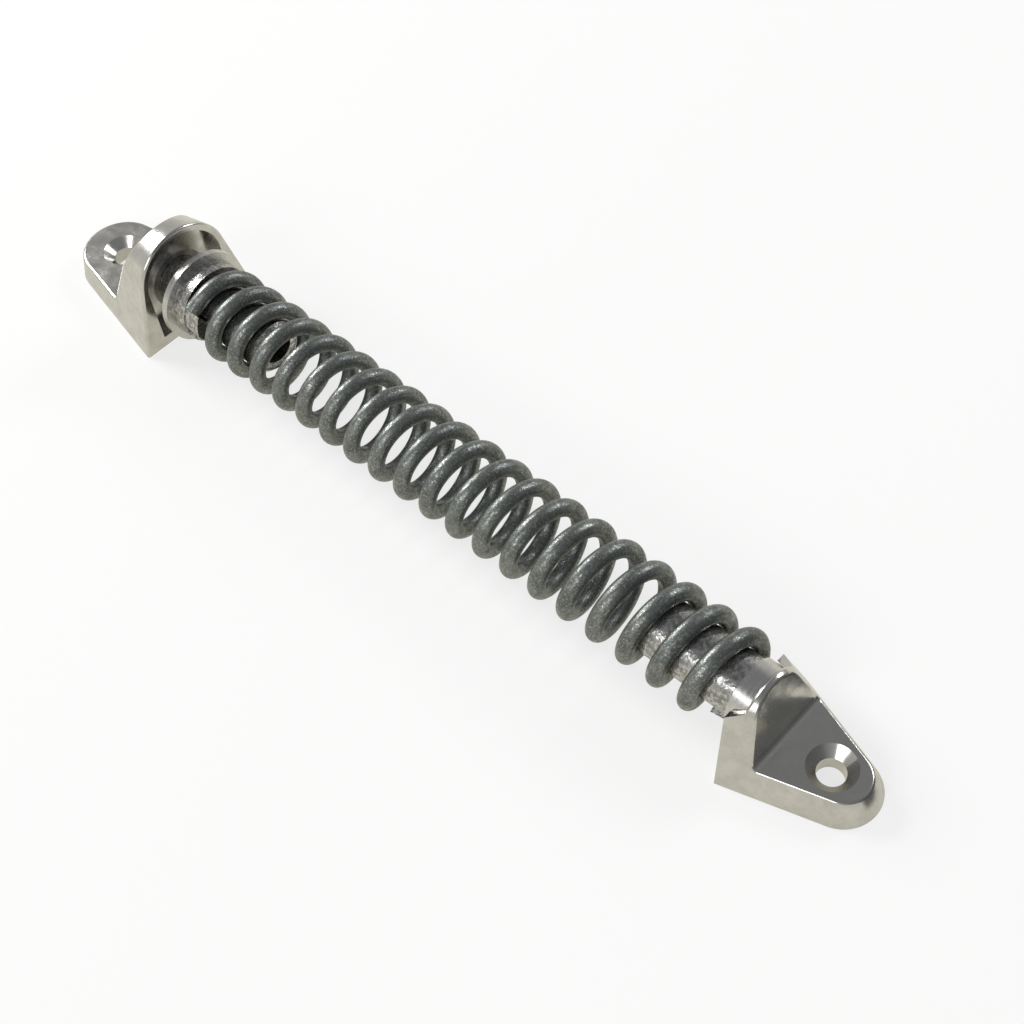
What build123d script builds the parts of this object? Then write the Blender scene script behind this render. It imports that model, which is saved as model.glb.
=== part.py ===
from build123d import *
import os
from math import acos, atan, atan2, cos, degrees, hypot, pi, radians, sin, sqrt, tan

os.makedirs("parts", exist_ok=True)

# Adjustable door spring: a wound torsion spring between two cast corner brackets.
# X runs along the spring, from the frame bracket (low X) to the door bracket (high X).
# Z = 0 is the plane on which both brackets are screwed. Sizes are in millimetres.

# Spring
wire_d = 3.2
coil_mean_d = 14.7
pitch = 6.55
half_turns = 39
coil_start_angle = 122.0  # place of the frame-side wire end, from +Y towards +Z
axis_height = 10.0  # spring axis above the screwed faces

# Drums that carry the spring's two ends
barrel_clearance = 0.2  # between the barrel and the inside of the turns
frame_barrel_length = 16.0
door_barrel_length = 20.0
core_bore_d = 6.4  # blind hole left by the casting core in each barrel's end
core_bore_depth = 9.0
barrel_chamfer = 0.7
lug_length = 3.4  # length of the stop on which the wire's cut end bears
lug_rise = 0.5  # of the stop, past the middle of the wire
end_clearance = 0.15  # between the last turn and the face beside it
frame_hub_d = 16.2
frame_hub_length = 3.4
bar_hole_d = 2.4  # holes in the neck for the bar that winds the spring
bar_hole_depth = 3.0
bar_hole_count = 4
frame_neck_d = 10.0
door_neck_d = 5.0
neck_clearance = 0.05  # running fit, on the radius
neck_end_play = 0.3

# Rings on the drums
thrust_washer_d = 19.2
thrust_washer_thickness = 1.4
door_collar_d = 12.2
door_collar_length = 3.4
bush_wall = 1.3
clip_groove_depth = 0.8
clip_thickness = 1.0
clip_width = 1.5  # across the ring, from its inside to its outside
clip_opening_angle = 70.0
clip_side_clearance = 0.1

# Frame bracket, the larger casting
frame_face_gap = 3.6  # from the thrust washer's back to the bracket's front face
frame_half_width = 14.0
frame_arch_r = 10.6
frame_arch_rise = 3.6  # centre of the arch above the spring axis
frame_arch_length = 4.6  # level top of the hump
frame_roof_length = 9.2  # steep back of the hump, down to the plate
frame_crease_to_hole = 10.0
frame_hole_to_tip = 1.2  # from the screw hole to the centre of the rounded tip
frame_tip_r = 9.0
hood_wall = 1.5  # shell of the hump round the open mouth
hood_floor = 2.2  # thickness left under the mouth
hood_depth = 3.2
web_thickness = 2.0  # wall that holds the bush
clip_pocket_clearance = 0.5  # round the retaining ring
clip_pocket_length = 2.2

# Door bracket, the smaller casting
door_half_width = 13.4
door_arch_r = 8.0
door_arch_rise = 0.2
door_arch_length = 0.9
door_roof_length = 3.6
door_crease_to_hole = 9.1
door_hole_to_tip = 2.0
door_tip_r = 7.0
door_cheek_reach = 3.0  # of the cheeks beside the collar, in front of the face
door_cheek_height = 2.4  # of their foremost corner, above the spring axis
door_cheek_rise = 1.6  # of their top edge, from that corner back to the face
collar_clearance = 0.3
door_socket_depth = 1.6
lock_pin_d = 1.0
lock_pin_reach = 1.4  # how far the pin goes past the spring axis
lock_pin_recess = 1.0  # of its lower end, under the screwed face

# Both brackets
plate_thickness = 4.9
screw_hole_d = 5.0
screw_head_d = 8.6
screw_head_angle = 90.0
rim_fillet = 0.6
front_fillet = 0.5
crease_fillet = 1.2

coil_r = coil_mean_d / 2
wire_r = wire_d / 2
barrel_r = coil_r - wire_r - barrel_clearance
lead = atan(pitch / (2 * pi * coil_r))
spring_run = pitch * half_turns / 2


# Places along X, first counted from the frame-side end of the coil
tail_run = wire_d * sin(lead)
frame_hub_face = -tail_run - wire_r - end_clearance
frame_hub_back = frame_hub_face - frame_hub_length
washer_back = frame_hub_back - thrust_washer_thickness
frame_face = washer_back - frame_face_gap
web_front = frame_face - hood_depth
web_back = web_front - web_thickness
clip_pocket_back = web_back - clip_pocket_length
frame_roof_start = frame_face - frame_arch_length
frame_crease = frame_roof_start - frame_roof_length
frame_hole = frame_crease - frame_crease_to_hole
door_shoulder = spring_run + tail_run + wire_r + end_clearance
door_face = door_shoulder + door_collar_length
door_front = door_face - door_cheek_reach
door_roof_start = door_face + door_arch_length
door_crease = door_roof_start + door_roof_length
door_hole = door_crease + door_crease_to_hole

# Radii that follow from each other
bush_bore_r = frame_neck_d / 2 + neck_clearance
bush_outer_r = bush_bore_r + bush_wall
clip_inner_r = frame_neck_d / 2 - clip_groove_depth
clip_outer_r = clip_inner_r + clip_width
clip_pocket_r = clip_outer_r + clip_pocket_clearance

# The origin is half-way between the two tips, so every place is moved by this much
frame_tip = frame_hole - frame_hole_to_tip - frame_tip_r
door_tip = door_hole + door_hole_to_tip + door_tip_r
mid = (frame_tip + door_tip) / 2


def on_axis(x):
    """Plane square to the spring at one place along it, its own X towards +Y."""
    return Plane(origin=(x - mid, 0, axis_height), x_dir=(0, 1, 0), z_dir=(1, 0, 0))


def disc(x_from, x_to, radius, mode=Mode.ADD):
    """Plain cylinder on the spring axis, between two places along X."""
    with BuildSketch(on_axis(x_from)) as section:
        Circle(radius)
    extrude(section.sketch, amount=x_to - x_from, mode=mode)


# Spring wire: its centre line turns left-handed, from the frame end to the door end
def coil_point(half_turn):
    angle = radians(coil_start_angle) - pi * half_turn
    x = pitch * half_turn / 2 - mid
    return Vector(x, coil_r * cos(angle), axis_height + coil_r * sin(angle))


def coil_tangent(half_turn):
    angle = radians(coil_start_angle) - pi * half_turn
    return Vector(sin(lead), cos(lead) * sin(angle), -cos(lead) * cos(angle))


def biarc_joint(start, end, start_dir, end_dir):
    """Where two arcs meet that leave start and reach end in the given directions."""
    chord = end - start
    both = start_dir + end_dir
    spread = 2 * (1 - start_dir.dot(end_dir))
    along = chord.dot(both)
    reach = (sqrt(along**2 + spread * chord.dot(chord)) - along) / spread
    first = start + start_dir * reach
    second = end - end_dir * reach
    return (first + second) * 0.5, (second - first).normalized()


frame_wire_end = coil_point(0) - coil_tangent(0) * wire_d
door_wire_end = coil_point(half_turns) + coil_tangent(half_turns) * wire_d

with BuildPart() as torsion_spring:
    with BuildLine() as centre_line:
        Line(frame_wire_end, coil_point(0))
        for turn in range(half_turns):
            here = coil_point(turn)
            there = coil_point(turn + 1)
            joint, joint_dir = biarc_joint(here, there, coil_tangent(turn), coil_tangent(turn + 1))
            TangentArc(here, joint, tangent=coil_tangent(turn))
            TangentArc(joint, there, tangent=joint_dir)
        Line(coil_point(half_turns), door_wire_end)
    with BuildSketch(Plane(origin=frame_wire_end, z_dir=coil_tangent(0))):
        Circle(wire_r)
    centre = centre_line.wires()[0]
    sweep(path=centre)

# The wire's volume against its section times its length, and its least gap to itself
wire_volume = pi * wire_r**2 * centre.length
print(f"wire length {centre.length:.1f} mm")
print(f"swept volume over section times length: {torsion_spring.part.volume / wire_volume:.4f}")
samples = [centre @ (i / 1600) for i in range(1601)]
apart = round(1600 * pi * coil_r / centre.length)
least = min(
    (samples[i] - samples[j]).length
    for i in range(0, 1601, 4)
    for j in range(i + apart, min(i + 4 * apart, 1601))
)
print(f"least gap of the wire to itself: {least - wire_d:.2f} mm")


def wire_stop(face_at, outward, x_from, x_to):
    """Sector of a ring whose flat face is square to the wire's end and meets it."""
    with BuildPart() as stop:
        with BuildSketch(on_axis(x_from)):
            Circle(coil_r + lug_rise)
            Circle(barrel_r - barrel_clearance, mode=Mode.SUBTRACT)
        extrude(amount=x_to - x_from)
        with BuildSketch(Plane(origin=face_at, z_dir=outward)):
            Rectangle(1.4 * coil_r, 1.4 * coil_r)
        extrude(amount=lug_length, mode=Mode.INTERSECT)
    return stop.part


# Frame drum: barrel inside the turns, hub, neck with its bar holes
frame_stop = wire_stop(frame_wire_end, -coil_tangent(0), frame_hub_face, wire_r)
neck_end = clip_pocket_back + neck_end_play
groove_front = web_back - clip_side_clearance
with BuildPart() as frame_drum:
    disc(frame_hub_back, frame_hub_face, frame_hub_d / 2)
    disc(frame_hub_face, frame_barrel_length, barrel_r)
    disc(neck_end, frame_hub_back, frame_neck_d / 2)
    barrel_end = frame_drum.faces().sort_by(Axis.X)[-1]
    chamfer(barrel_end.edges(), barrel_chamfer)
    disc(frame_barrel_length - core_bore_depth, frame_barrel_length, core_bore_d / 2, Mode.SUBTRACT)
    add(frame_stop)
    with BuildSketch(on_axis(groove_front - clip_thickness)):
        Circle(frame_neck_d / 2)
        Circle(clip_inner_r, mode=Mode.SUBTRACT)
    extrude(amount=clip_thickness, mode=Mode.SUBTRACT)
    for hole in range(bar_hole_count):
        angle = radians(360 / bar_hole_count * hole + 45)
        out = Vector(0, cos(angle), sin(angle))
        neck_middle = Vector((washer_back + frame_face) / 2 - mid, 0, axis_height)
        with BuildSketch(Plane(origin=neck_middle + out * frame_neck_d / 2, z_dir=-out)):
            Circle(bar_hole_d / 2)
        extrude(amount=bar_hole_depth, both=True, mode=Mode.SUBTRACT)



def upright_pin(z_from, mode=Mode.ADD):
    """Cylinder of the lock pin, upwards from a height into the door drum's neck."""
    with BuildSketch(Plane.XY.offset(z_from)) as section:
        with Locations((door_face + door_socket_depth / 2 - mid, 0)):
            Circle(lock_pin_d / 2)
    extrude(section.sketch, amount=axis_height + lock_pin_reach - z_from, mode=mode)


# Door drum: barrel inside the last turns, neck through the collar into the bracket
door_stop = wire_stop(
    door_wire_end, coil_tangent(half_turns), spring_run - wire_r, door_shoulder
)
with BuildPart() as door_drum:
    barrel_start = door_shoulder - door_barrel_length
    disc(barrel_start, door_shoulder, barrel_r)
    barrel_end = door_drum.faces().sort_by(Axis.X)[0]
    chamfer(barrel_end.edges(), barrel_chamfer)
    disc(barrel_start, barrel_start + core_bore_depth, core_bore_d / 2, Mode.SUBTRACT)
    disc(door_shoulder, door_face + door_socket_depth, door_neck_d / 2)
    add(door_stop)
    upright_pin(0, Mode.SUBTRACT)


# Rings and pin
with BuildPart() as frame_thrust_washer:
    disc(washer_back, frame_hub_back, thrust_washer_d / 2)
    disc(washer_back, frame_hub_back, frame_neck_d / 2 + neck_clearance, Mode.SUBTRACT)

with BuildPart() as frame_bush:
    disc(web_back, web_front, bush_outer_r)
    disc(web_back, web_front, bush_bore_r, Mode.SUBTRACT)

with BuildPart() as door_collar:
    disc(door_shoulder, door_face, door_collar_d / 2)
    disc(door_shoulder, door_face, door_neck_d / 2 + neck_clearance, Mode.SUBTRACT)

with BuildPart() as frame_retaining_ring:
    with BuildSketch(on_axis(groove_front - clip_thickness)):
        Circle(clip_outer_r)
        Circle(clip_inner_r, mode=Mode.SUBTRACT)
        half = radians(clip_opening_angle / 2)
        reach = 2 * clip_outer_r
        Polygon(
            (0, 0),
            (-reach * sin(half), -reach * cos(half)),
            (reach * sin(half), -reach * cos(half)),
            align=None,
            mode=Mode.SUBTRACT,
        )
    extrude(amount=clip_thickness)

with BuildPart() as door_lock_pin:
    upright_pin(lock_pin_recess)


# Cast brackets: an arrowhead plate with drafted sides, and a hump with an arched front
def touching_point(corner, centre, radius, side):
    """Where a line from the corner touches the circle."""
    dx = corner[0] - centre[0]
    dy = corner[1] - centre[1]
    turn = atan2(dy, dx) + side * acos(radius / hypot(dx, dy))
    return centre[0] + radius * cos(turn), centre[1] + radius * sin(turn)


def casting(face, roof_start, crease, tip_middle, half_width, arch_r, arch_rise, tip_r):
    """Bracket without its openings, from its front face to its rounded tip."""
    toward = 1 if tip_middle > face else -1
    tip_centre = (tip_middle - mid, 0)
    corner = (face - mid, half_width)
    side_end = touching_point(corner, tip_centre, tip_r, -toward)
    side_slope = (half_width - side_end[1]) / abs(side_end[0] - corner[0])
    arch_height = axis_height + arch_rise
    flank_end = touching_point((half_width, 0), (0, arch_height), arch_r, 1)
    flank_angle = atan((half_width - flank_end[0]) / flank_end[1])
    draft = atan(tan(flank_angle) * cos(atan(side_slope)))
    arch_top = arch_height + arch_r

    with BuildPart() as body:
        with BuildSketch():
            with BuildLine():
                first = (side_end[0], toward * side_end[1])
                last = (side_end[0], -toward * side_end[1])
                front_first = (corner[0], toward * half_width)
                front_last = (corner[0], -toward * half_width)
                Polyline(first, front_first, front_last, last)
                ThreePointArc(last, (tip_middle - mid + toward * tip_r, 0), first)
            make_face()
        extrude(amount=plate_thickness, taper=degrees(draft))
        for x in (face, crease):
            width = half_width - side_slope * abs(x - face)
            radius = arch_r - (half_width - width) * cos(flank_angle)
            touch = touching_point((width, 0), (0, arch_height), radius, 1)
            with BuildSketch(Plane(origin=(x - mid, 0, 0), x_dir=(0, 1, 0), z_dir=(1, 0, 0))):
                with BuildLine():
                    Polyline((-touch[0], touch[1]), (-width, 0), (width, 0), touch)
                    ThreePointArc(touch, (0, arch_height + radius), (-touch[0], touch[1]))
                make_face()
        loft(ruled=True)
        with BuildSketch(Plane.XZ):
            with BuildLine():
                Polyline(
                    (roof_start - mid, arch_top),
                    (crease - mid, plate_thickness),
                    (crease - mid, arch_top + 1),
                    (roof_start - mid, arch_top + 1),
                    close=True,
                )
            make_face()
        extrude(amount=half_width, both=True, mode=Mode.SUBTRACT)
        crease_line = body.edges().filter_by(Axis.Y).sort_by(Axis.Z)[-1]
        fillet(crease_line, crease_fillet)
        arcs = body.edges().filter_by(GeomType.CIRCLE)
        tip_rim = arcs.sort_by(lambda edge: abs(edge.center().Z - plate_thickness))[0]
        fillet(tip_rim, rim_fillet)
        front = body.faces().sort_by(Axis.X, reverse=toward < 0)[0]
        fillet(front.edges().sort_by(Axis.Z)[1:], front_fillet)
    return body.part


def screw_hole(hole):
    """Countersunk hole through the plate."""
    with Locations((hole - mid, 0, plate_thickness)):
        CounterSinkHole(
            radius=screw_hole_d / 2,
            counter_sink_radius=screw_head_d / 2,
            depth=plate_thickness,
            counter_sink_angle=screw_head_angle,
        )


with BuildPart() as frame_bracket:
    add(
        casting(
            frame_face, frame_roof_start, frame_crease, frame_hole - frame_hole_to_tip,
            frame_half_width, frame_arch_r, frame_arch_rise, frame_tip_r,
        )
    )
    screw_hole(frame_hole)
    with BuildSketch(Plane(origin=(web_front - mid, 0, 0), x_dir=(0, 1, 0), z_dir=(1, 0, 0))):
        mouth_r = frame_arch_r - hood_wall
        arch_height = axis_height + frame_arch_rise
        with BuildLine():
            Polyline(
                (-mouth_r, arch_height),
                (-mouth_r, hood_floor),
                (mouth_r, hood_floor),
                (mouth_r, arch_height),
            )
            ThreePointArc(
                (mouth_r, arch_height), (0, arch_height + mouth_r), (-mouth_r, arch_height)
            )
        make_face()
    extrude(amount=hood_depth, mode=Mode.SUBTRACT)
    disc(web_back, web_front, bush_outer_r, Mode.SUBTRACT)
    disc(clip_pocket_back, web_back, clip_pocket_r, Mode.SUBTRACT)
    pocket_mid = (clip_pocket_back + web_back) / 2
    with BuildSketch():
        with Locations((pocket_mid - mid, 0)):
            Rectangle(clip_pocket_length, 2 * clip_pocket_r)
    extrude(amount=axis_height, mode=Mode.SUBTRACT)

with BuildPart() as door_bracket:
    add(
        casting(
            door_front, door_roof_start, door_crease, door_hole + door_hole_to_tip,
            door_half_width, door_arch_r, door_arch_rise, door_tip_r,
        )
    )
    # Two cheeks stay in front of the face, beside the lower half of the collar
    cheek_corner = door_front + front_fillet + 0.1 - mid
    cheek_top = axis_height + door_cheek_height
    above = axis_height + 2 * door_arch_r
    with BuildSketch(Plane.XZ):
        with BuildLine():
            Polyline(
                (door_face - mid, -1),
                (door_face - mid, 0),
                (cheek_corner, cheek_top),
                (door_face - mid, cheek_top + door_cheek_rise),
                (door_face - mid, above),
                (door_front - mid - 1, above),
                (door_front - mid - 1, -1),
                close=True,
            )
        make_face()
    extrude(amount=door_half_width + 1, both=True, mode=Mode.SUBTRACT)
    disc(door_front - 1, door_face, door_collar_d / 2 + collar_clearance, Mode.SUBTRACT)
    face_edges = door_bracket.edges().filter_by_position(
        Axis.X, door_face - mid - 0.001, door_face - mid + 0.001
    )
    fillet(face_edges.sort_by(Axis.Z)[-1], front_fillet)
    screw_hole(door_hole)
    disc(door_face, door_face + door_socket_depth, door_neck_d / 2, Mode.SUBTRACT)
    upright_pin(0, Mode.SUBTRACT)

frame_bracket.part.label = "frame_bracket"
export_step(frame_bracket.part, "parts/frame_bracket.step")
door_bracket.part.label = "door_bracket"
export_step(door_bracket.part, "parts/door_bracket.step")
torsion_spring.part.label = "torsion_spring"
export_step(torsion_spring.part, "parts/torsion_spring.step")
frame_drum.part.label = "frame_drum"
export_step(frame_drum.part, "parts/frame_drum.step")
door_drum.part.label = "door_drum"
export_step(door_drum.part, "parts/door_drum.step")
frame_thrust_washer.part.label = "frame_thrust_washer"
export_step(frame_thrust_washer.part, "parts/frame_thrust_washer.step")
door_collar.part.label = "door_collar"
export_step(door_collar.part, "parts/door_collar.step")
frame_bush.part.label = "frame_bush"
export_step(frame_bush.part, "parts/frame_bush.step")
frame_retaining_ring.part.label = "frame_retaining_ring"
export_step(frame_retaining_ring.part, "parts/frame_retaining_ring.step")
door_lock_pin.part.label = "door_lock_pin"
export_step(door_lock_pin.part, "parts/door_lock_pin.step")
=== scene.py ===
# %% [markdown]
# # An adjustable door spring
# The object is a wound torsion spring between two plated castings, each screwed down by one
# countersunk screw. Its solid pieces come ready shaped. This lesson dresses them: it makes the
# wire from a rule with Geometry Nodes, and it gives every metal its finish.

import math

import bpy
from mathutils import Matrix, Vector


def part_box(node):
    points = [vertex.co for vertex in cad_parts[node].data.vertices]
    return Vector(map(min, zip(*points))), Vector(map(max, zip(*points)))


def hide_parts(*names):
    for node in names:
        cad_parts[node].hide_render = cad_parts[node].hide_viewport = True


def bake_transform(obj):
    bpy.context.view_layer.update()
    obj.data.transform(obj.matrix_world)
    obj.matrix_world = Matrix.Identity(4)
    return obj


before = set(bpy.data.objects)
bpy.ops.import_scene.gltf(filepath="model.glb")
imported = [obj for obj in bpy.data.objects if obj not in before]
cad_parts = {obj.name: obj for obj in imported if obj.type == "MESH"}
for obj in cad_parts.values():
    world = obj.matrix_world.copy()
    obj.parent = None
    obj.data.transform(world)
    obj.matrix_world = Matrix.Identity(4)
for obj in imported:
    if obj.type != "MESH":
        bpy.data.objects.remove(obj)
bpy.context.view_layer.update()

# %% [markdown]
# A node tree is a drawing of sums. Drawing dozens of Math nodes by hand hides the rule behind
# them, so a small class wraps one output of a tree and lets Python's own + - * / add the Math
# nodes. The same class serves the wire's geometry and the metals' colours.

# %% A socket that understands arithmetic
class Value:
    def __init__(self, tree, out):
        self.tree = tree
        self.out = out

    def sum_with(self, operation, first, second=None):
        parts = [first] if second is None else [first, second]
        return add(self.tree, "ShaderNodeMath", {"operation": operation}, dict(enumerate(parts)))

    def __add__(self, other):
        return self.sum_with("ADD", self, other)

    def __radd__(self, other):
        return self.sum_with("ADD", other, self)

    def __sub__(self, other):
        return self.sum_with("SUBTRACT", self, other)

    def __rsub__(self, other):
        return self.sum_with("SUBTRACT", other, self)

    def __mul__(self, other):
        return self.sum_with("MULTIPLY", self, other)

    def __rmul__(self, other):
        return self.sum_with("MULTIPLY", other, self)

    def __truediv__(self, other):
        return self.sum_with("DIVIDE", self, other)

    def __pow__(self, other):
        return self.sum_with("POWER", self, other)

    def apply(self, operation, second=None):
        return self.sum_with(operation, self, second)


def add(tree, kind, settings=None, inputs=None, out=0):
    """Adds one node: its settings first, then the values or links of its sockets."""
    node = tree.nodes.new(kind)
    for name, value in (settings or {}).items():
        if name == "stops":
            ramp = node.color_ramp
            while len(ramp.elements) < len(value):
                ramp.elements.new(0.5)
            for stop, (place, colour) in zip(ramp.elements, value):
                stop.position = place
                stop.color = (*colour, 1.0) if len(colour) == 3 else colour
        else:
            setattr(node, name, value)
    for name, value in (inputs or {}).items():
        socket = node.inputs[name]
        if isinstance(value, Value):
            tree.links.new(value.out, socket)
        else:
            socket.default_value = value
    result = Value(tree, node.outputs[out])
    result.node = node
    return result


print("helpers ready")

# %% [markdown]
# ## The wire
# The real spring is one length of round steel wire, wound left-handed at an open pitch and cut
# square at both ends. A main piece with such a rule is best made by Geometry Nodes: a straight
# line is cut into many points, and each point is moved to its place on the helix. The last wire
# diameter at each end runs straight, because there the wire bears on a stop.

# %% The spring's sizes, in metres
wire_d = 0.0032
coil_r = 0.00735
pitch = 0.00655
turns = 19.5
start_angle = math.radians(122.0)
axis_height = 0.010
steps_per_turn = 60
steps_of_straight_ends = 12
sides_of_section = 28
lead = math.atan(pitch / (2 * math.pi * coil_r))
turn_length = math.hypot(2 * math.pi * coil_r, pitch)
low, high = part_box("torsion_spring")
wire_reach = wire_d * math.sin(lead) + wire_d / 2 * math.cos(lead)
first_x = low[0] + wire_reach
print("wire length in mm:", round(1000 * (turns * turn_length + 2 * wire_d), 1))
print("coil starts at x =", round(first_x, 5), "and ends at", round(high[0] - wire_reach, 5))

# %% A tree that winds the wire
wind = bpy.data.node_groups.new("Wound wire", "GeometryNodeTree")
face = wind.interface
face.new_socket("Geometry", in_out="INPUT", socket_type="NodeSocketGeometry")
wire_sizes = {
    "Turns": turns,
    "Pitch": pitch,
    "Coil radius": coil_r,
    "Wire radius": wire_d / 2,
    "Start angle": start_angle,
    "First x": first_x,
    "Axis height": axis_height,
    "Straight end": wire_d,
}
for name in wire_sizes:
    face.new_socket(name, in_out="INPUT", socket_type="NodeSocketFloat")
face.new_socket("Finish", in_out="INPUT", socket_type="NodeSocketMaterial")
face.new_socket("Geometry", in_out="OUTPUT", socket_type="NodeSocketGeometry")
given = wind.nodes.new("NodeGroupInput")
size = {name: Value(wind, given.outputs[name]) for name in wire_sizes}

round_turn = 2 * math.pi * size["Coil radius"]
along_turn = (round_turn * round_turn + size["Pitch"] * size["Pitch"]) ** 0.5
whole = size["Turns"] * along_turn + 2 * size["Straight end"]
line = add(wind, "GeometryNodeCurvePrimitiveLine", {}, {"End": (1.0, 0.0, 0.0)})
count = size["Turns"] * steps_per_turn + steps_of_straight_ends
points = add(wind, "GeometryNodeResampleCurve", {}, {"Curve": line, "Count": count})

# %% [markdown]
# Each point knows how far along the wire it is. That length, less the straight end and held
# between nought and all turns, gives the angle; what is left over runs on in a straight line.

# %% Place of each point on the helix
part_way = add(wind, "GeometryNodeSplineParameter", {}, {}, "Factor")
run = part_way * whole - size["Straight end"]
wound = run.apply("MAXIMUM", 0.0).apply("MINIMUM", size["Turns"] * along_turn)
beyond = run - wound
turned = wound / along_turn
angle = size["Start angle"] - turned * (2 * math.pi)
rise = size["Pitch"] / along_turn
across = round_turn / along_turn
x = size["First x"] + turned * size["Pitch"] + beyond * rise
y = size["Coil radius"] * angle.apply("COSINE") + beyond * across * angle.apply("SINE")
z = size["Axis height"] + size["Coil radius"] * angle.apply("SINE")
z = z - beyond * across * angle.apply("COSINE")
place = add(wind, "ShaderNodeCombineXYZ", {}, {"X": x, "Y": y, "Z": z})
helix = add(wind, "GeometryNodeSetPosition", {}, {"Geometry": points, "Position": place})

# %% Round section, finish and plain mesh
section = add(
    wind,
    "GeometryNodeCurvePrimitiveCircle",
    {},
    {"Resolution": sides_of_section, "Radius": size["Wire radius"]},
)
tube = add(
    wind,
    "GeometryNodeCurveToMesh",
    {},
    {"Curve": helix, "Profile Curve": section, "Fill Caps": True},
)
smooth = add(wind, "GeometryNodeSetShadeSmooth", {}, {"Geometry": tube})
plain = add(wind, "GeometryNodeRealizeInstances", {}, {"Geometry": smooth})
finished = add(
    wind,
    "GeometryNodeSetMaterial",
    {},
    {"Geometry": plain, "Material": Value(wind, given.outputs["Finish"])},
)
result = wind.nodes.new("NodeGroupOutput")
wind.links.new(finished.out, result.inputs["Geometry"])
print("wire tree:", len(wind.nodes), "nodes")

# %% [markdown]
# ## Metals
# A metal's look is mostly how it spreads the light that it mirrors. So each finish below sets
# how rough the metal is and lets that vary, and adds the small bumps of its making: the flow of
# a die casting under its plating, the grain of a raw casting, the turning marks of a ring.

# %% A helper that starts a metal
def metal(name, colour, roughness):
    """Starts a metal finish; gives back its tree, its shader and its place on the object."""
    finish = bpy.data.materials.new(name)
    finish.use_nodes = True
    tree = finish.node_tree
    shader = tree.nodes["Principled BSDF"]
    shader.inputs["Base Color"].default_value = (*colour, 1.0)
    shader.inputs["Metallic"].default_value = 1.0
    shader.inputs["Roughness"].default_value = roughness
    place = add(tree, "ShaderNodeTexCoord", {}, {}, "Object")
    return finish, tree, shader, place


def feed(tree, shader, name, value):
    tree.links.new(value.out, shader.inputs[name])


def noise(tree, place, scale, detail=3.0, roughness=0.55):
    """Soft random pattern; scale is in marks per metre."""
    inputs = {"Vector": place, "Scale": scale, "Detail": detail, "Roughness": roughness}
    return add(tree, "ShaderNodeTexNoise", {}, inputs, "Fac")


def spread(tree, value, low_in, high_in, low_out=0.0, high_out=1.0):
    inputs = {
        "Value": value,
        "From Min": low_in,
        "From Max": high_in,
        "To Min": low_out,
        "To Max": high_out,
    }
    return add(tree, "ShaderNodeMapRange", {"clamp": True}, inputs, "Result")


def blend_colours(tree, factor, first, second):
    """Mixes two colours by a factor from 0 to 1."""
    mixer = tree.nodes.new("ShaderNodeMix")
    mixer.data_type = "RGBA"
    for index, value in ((0, factor), (6, first), (7, second)):
        if isinstance(value, Value):
            tree.links.new(value.out, mixer.inputs[index])
        else:
            mixer.inputs[index].default_value = (*value, 1.0)
    return Value(tree, mixer.outputs[2])


def bump(tree, height, depth, strength=1.0, under=None):
    inputs = {"Height": height, "Distance": depth, "Strength": strength}
    if under is not None:
        inputs["Normal"] = under
    return add(tree, "ShaderNodeBump", {}, inputs, "Normal")


# %% [markdown]
# The wire is drawn steel under a thin dull zinc coat. It is mid grey with a cold tinge, a little
# blotchy, and its lustre is broken by fine grain, so its highlights are wide and soft.

# %% Finish of the spring wire
spring_steel, tree, shader, place = metal("Dull zinc on drawn wire", (0.18, 0.19, 0.19), 0.42)
blotch = spread(tree, noise(tree, place, 420.0, 4.0), 0.36, 0.66)
speck = spread(tree, noise(tree, place, 2600.0, 2.0), 0.5, 0.72)
tone = blend_colours(tree, blotch, (0.112, 0.127, 0.122), (0.205, 0.22, 0.208))
feed(tree, shader, "Base Color", blend_colours(tree, speck * 0.6, tone, (0.52, 0.52, 0.49)))
feed(tree, shader, "Roughness", 0.46 - blotch * 0.1 - speck * 0.16)
feed(tree, shader, "Metallic", 0.72 + blotch * 0.2)
grain = noise(tree, place, 3200.0, 4.0)
feed(tree, shader, "Normal", bump(tree, grain + blotch * 0.5, 0.00008, 0.8))

# %% [markdown]
# The brackets are zinc die castings, polished and plated bright. Plating follows the casting
# below it, so the mirror is never flat: wide shallow waves bend what it shows, and a few fine
# pits and rubbed patches make it slightly milky.

# %% Finish of the brackets
plated_casting, tree, shader, place = metal("Bright plated casting", (0.6, 0.595, 0.57), 0.24)
waves = noise(tree, place, 140.0, 2.0, 0.4)
ripple = noise(tree, place, 480.0, 2.0, 0.5)
milky = spread(tree, noise(tree, place, 300.0, 6.0, 0.7), 0.4, 0.68)
grit = noise(tree, place, 3600.0, 3.0, 0.6)
pits = spread(tree, noise(tree, place, 1500.0, 2.0), 0.68, 0.8)
tone = blend_colours(tree, milky, (0.64, 0.632, 0.605), (0.53, 0.522, 0.49))
feed(tree, shader, "Base Color", blend_colours(tree, pits * 0.35, tone, (0.3, 0.29, 0.27)))
feed(tree, shader, "Roughness", 0.16 + milky * 0.13 + pits * 0.12)
wavy = bump(tree, waves, 0.0004, 0.3)
rippled = bump(tree, ripple, 0.00006, 0.3, wavy)
feed(tree, shader, "Normal", bump(tree, grit, 0.000009, 0.6, rippled))
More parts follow.
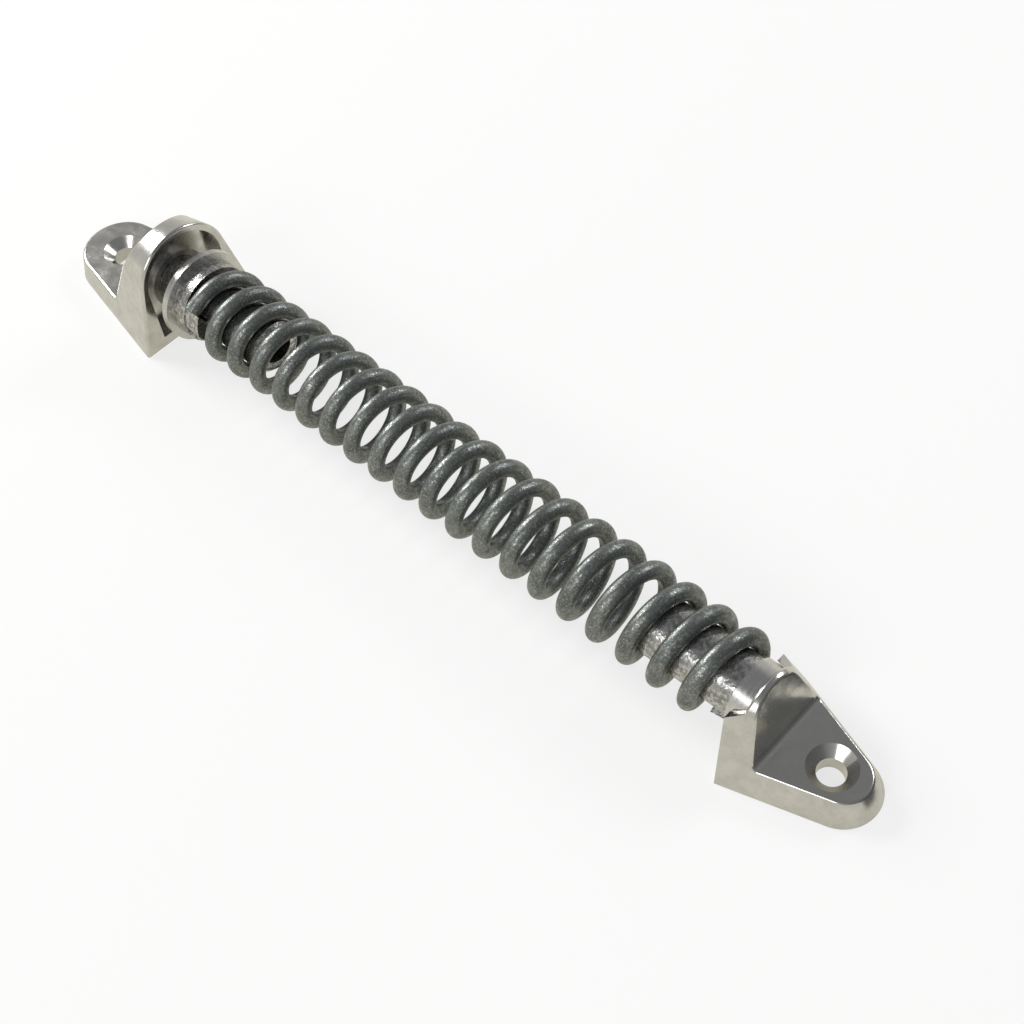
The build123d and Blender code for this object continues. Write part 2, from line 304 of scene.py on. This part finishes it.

# %% [markdown]
# The drums are cast too, but nobody polishes what hides inside the coil. They keep the grain of
# the mould, its hollows painted dark as painted shade and its crests light, sparkling where light
# gets in.
# grain of the mould: dark hollows between bright crests that sparkle where light gets in.

# %% Finish of the drums
raw_casting, tree, shader, place = metal("Plated rough casting", (0.5, 0.5, 0.49), 0.26)
lumps = noise(tree, place, 1300.0, 4.0, 0.6)
crest = spread(tree, lumps, 0.42, 0.64)
# painted shade: the colour darkens where the bump's lumps are low, in the hollows of the grain
skin_with_painted_hollow_shade = blend_colours(tree, crest, (0.27, 0.27, 0.265), (0.64, 0.635, 0.615))
feed(tree, shader, "Base Color", skin_with_painted_hollow_shade)
feed(tree, shader, "Roughness", 0.34 - crest * 0.16)
coarse = bump(tree, noise(tree, place, 330.0, 3.0), 0.0005, 0.5)
feed(tree, shader, "Normal", bump(tree, lumps, 0.0001, 0.55, coarse))

# %% [markdown]
# The washer and the collar are turned on a lathe, which leaves rings about the axis. Their
# distance from the axis, taken from the object's own coordinates, drives the pattern.

# %% Finish of the turned rings
def turned_metal(name, colour, dark, roughness, marks):
    finish, tree, shader, place = metal(name, colour, roughness)
    parts = add(tree, "ShaderNodeSeparateXYZ", {}, {0: place})
    y_part = Value(tree, parts.node.outputs[1])
    z_part = Value(tree, parts.node.outputs[2]) - axis_height
    radius = (y_part * y_part + z_part * z_part) ** 0.5
    uneven = noise(tree, place, 380.0, 3.0)
    lines = ((radius + uneven * 0.0004 + parts * 0.4) * marks).apply("SINE") * 0.5 + 0.5
    wear = spread(tree, uneven, 0.4, 0.66)
    feed(tree, shader, "Base Color", blend_colours(tree, wear * 0.6 + lines * 0.15, colour, dark))
    feed(tree, shader, "Roughness", roughness + wear * 0.12 + lines * 0.05)
    feed(tree, shader, "Normal", bump(tree, lines, 0.000006, 0.4))
    return finish


plated_steel = turned_metal("Plated ring", (0.64, 0.635, 0.615), (0.5, 0.49, 0.47), 0.17, 16000.0)
bush_steel = turned_metal(
    "Oiled bush steel", (0.34, 0.33, 0.31), (0.16, 0.155, 0.145), 0.3, 26000.0
)
clip_steel = turned_metal("Blued clip steel", (0.2, 0.21, 0.23), (0.1, 0.1, 0.11), 0.33, 30000.0)

# %% Each solid piece takes its finish
finishes = {
    "frame_bracket": plated_casting,
    "door_bracket": plated_casting,
    "torsion_spring": spring_steel,
    "frame_drum": raw_casting,
    "door_drum": raw_casting,
    "frame_thrust_washer": plated_steel,
    "door_collar": plated_steel,
    "frame_bush": bush_steel,
    "frame_retaining_ring": clip_steel,
    "door_lock_pin": clip_steel,
}
for node, finish in finishes.items():
    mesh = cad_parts[node].data
    mesh.materials.clear()
    mesh.materials.append(finish)
    print(node, "->", finish.name)

# %% [markdown]
# ## Winding the wire
# The tree runs on an empty mesh, and its evaluated result is copied into a plain mesh. Then the
# wire takes the solid spring's place.

# %% Make the wire and round its cut edges
seed = bpy.data.objects.new("wire seed", bpy.data.meshes.new("wire seed"))
bpy.context.scene.collection.objects.link(seed)
winder = seed.modifiers.new("Wound wire", "NODES")
winder.node_group = wind
for item in face.items_tree:
    if item.in_out == "INPUT" and item.name in wire_sizes:
        winder[item.identifier] = wire_sizes[item.name]
    if item.in_out == "INPUT" and item.name == "Finish":
        winder[item.identifier] = spring_steel
bpy.context.view_layer.update()
shown = seed.evaluated_get(bpy.context.evaluated_depsgraph_get())
wire_mesh = bpy.data.meshes.new_from_object(shown)
bpy.data.objects.remove(seed)
wire = bpy.data.objects.new("wound_wire", wire_mesh)
bpy.context.scene.collection.objects.link(wire)
wire_mesh.materials.clear()
wire_mesh.materials.append(spring_steel)
rounding = wire.modifiers.new("Cut edge", "BEVEL")
rounding.width = 0.0002
rounding.segments = 2
rounding.limit_method = "ANGLE"
rounding.angle_limit = math.radians(60)
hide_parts("torsion_spring")
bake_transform(wire)
xs = [point.co.x for point in wire_mesh.vertices]
print("wire from x =", round(min(xs), 5), "to", round(max(xs), 5), "with", len(xs), "points")

# %% [markdown]
# ## The studio
# The object lies on a plain white floor. Bright metal is only as good as what it mirrors, so the
# room is pale low down and greyer overhead, and dim on the side of the door bracket. A dark card
# lies on the paper there too, hidden from the camera, so that only mirrored light finds it:
# photographers use one to keep a bright slope from melting into the white paper.

# %% A flat sheet of the studio
def flat_sheet(name, corners, level):
    """Lays a sheet that isn't part of the object; gives back the sheet and its finish's tree."""
    mesh = bpy.data.meshes.new(name)
    mesh.from_pydata([(x, y, level) for x, y in corners], [], [tuple(range(len(corners)))])
    sheet = bpy.data.objects.new(name, mesh)
    bpy.context.scene.collection.objects.link(sheet)
    finish = bpy.data.materials.new(name + " finish")
    finish.use_nodes = True
    mesh.materials.append(finish)
    return sheet, finish.node_tree


# %% Floor of white paper
floor_reach = 3.0
below_object = -0.00005
floor_corners = [
    (-floor_reach, -floor_reach),
    (floor_reach, -floor_reach),
    (floor_reach, floor_reach),
    (-floor_reach, floor_reach),
]
floor, tree = flat_sheet("floor", floor_corners, below_object)
seen_glow = 0.72
mirrored_glow = 0.75
diffuse = add(tree, "ShaderNodeBsdfDiffuse", {}, {"Color": (0.9, 0.9, 0.89, 1.0)})
rays = add(tree, "ShaderNodeLightPath", {}, {}, "Is Camera Ray")
glossy = Value(tree, rays.node.outputs["Is Glossy Ray"])
paper_white = blend_colours(tree, glossy, (1.0, 1.0, 1.0), (0.78, 0.755, 0.645))
glow = add(tree, "ShaderNodeEmission", {}, {"Color": paper_white, "Strength": 1.0})
lift = rays * seen_glow + glossy * mirrored_glow
paper_mix = add(tree, "ShaderNodeMixShader", {}, {0: lift, 1: diffuse, 2: glow})
tree.links.new(paper_mix.out, tree.nodes["Material Output"].inputs["Surface"])
print("floor laid at z =", below_object)

# %% Dark card, seen only by the metal
card_level = 0.0006
card_corners = [
    (0.1035, 0.0),
    (0.45, -0.10),
    (0.45, 0.40),
    (0.088, 0.08),
    (0.09, 0.0135),
    (0.1, 0.0085),
]
card, tree = flat_sheet("dark_card", card_corners, card_level)
felt = add(tree, "ShaderNodeEmission", {}, {"Color": (0.1, 0.102, 0.1, 1.0), "Strength": 1.0})
tree.links.new(felt.out, tree.nodes["Material Output"].inputs["Surface"])
card.visible_camera = False
card.visible_diffuse = False
card.visible_shadow = False
print("dark card laid at z =", card_level)

# %% [markdown]
# The room is a colour for every direction. Height above the horizon goes from the pale walls to
# the dim ceiling, and a second blend turns the walls dark beyond the door bracket. The camera
# sees plain white instead, which is one over the room's strength, so that the paper has no edge.

# %% Room
room_strength = 0.75
world = bpy.data.worlds.new("Room")
bpy.context.scene.world = world
world.use_nodes = True
tree = world.node_tree
direction = add(tree, "ShaderNodeTexCoord", {}, {}, "Generated")
along_x = add(tree, "ShaderNodeSeparateXYZ", {}, {0: direction})
along_y = Value(tree, along_x.node.outputs[1])
up = Value(tree, along_x.node.outputs[2])
ceiling = spread(tree, up, 0.05, 0.75)
dim_side = spread(tree, along_x * 0.92 + along_y * 0.38, 0.15, 0.8)
walls = blend_colours(tree, dim_side, (0.92, 0.905, 0.86), (0.13, 0.135, 0.14))
room = blend_colours(tree, ceiling, walls, (0.3, 0.305, 0.315))
seen = add(tree, "ShaderNodeLightPath", {}, {}, "Is Camera Ray")
white = (1 / room_strength,) * 3
background = tree.nodes["Background"]
tree.links.new(blend_colours(tree, seen, room, white).out, background.inputs["Color"])
background.inputs["Strength"].default_value = room_strength
print("room:", len(tree.nodes), "nodes")


# %% Lamps
def lamp(name, place, width, height, watts, tint=(1.0, 1.0, 1.0)):
    """Hangs a soft lamp that looks at the middle of the object's floor."""
    light = bpy.data.lights.new(name, "AREA")
    light.shape = "RECTANGLE"
    light.size = width
    light.size_y = height
    light.energy = watts
    light.color = tint
    stand = bpy.data.objects.new(name, light)
    bpy.context.scene.collection.objects.link(stand)
    stand.location = place
    stand.rotation_euler = (-Vector(place)).to_track_quat("-Z", "Y").to_euler()
    print("lamp", name, "gives", watts, "watts")


lamp("window", (-0.85, -0.1, 0.6), 0.45, 0.3, 8.0, (1.0, 0.99, 0.97))
lamp("behind", (0.25, 0.9, 0.6), 0.4, 0.3, 3.5, (0.97, 0.98, 1.0))
lamp("front", (0.1, -0.8, 0.55), 0.6, 0.3, 3.0)

# %% [markdown]
# The camera looks down on the object from beyond the door bracket, over the coil. Its place and
# lens come from matching known points of the brackets and the coil, for a picture 1024 by 1024.

# %% Camera
eye = Vector((0.14032, -0.10279, 0.22657))
right = Vector((0.72681, 0.68311, -0.07147))
downward = Vector((0.52454, -0.61922, -0.58431))
forward = Vector((-0.44340, 0.38719, -0.80838))
focal_px = 1531.34
picture_px = 1024
camera_data = bpy.data.cameras.new("camera")
camera_data.sensor_width = 36.0
camera_data.lens = focal_px / picture_px * camera_data.sensor_width
camera_data.clip_start = 0.005
camera = bpy.data.objects.new("camera", camera_data)
bpy.context.scene.collection.objects.link(camera)
turn = Matrix((right, -downward, -forward)).transposed().to_4x4()
camera.matrix_world = Matrix.Translation(eye) @ turn
bpy.context.scene.camera = camera
bpy.context.scene.view_settings.view_transform = "Standard"
print("lens in mm:", round(camera_data.lens, 2))
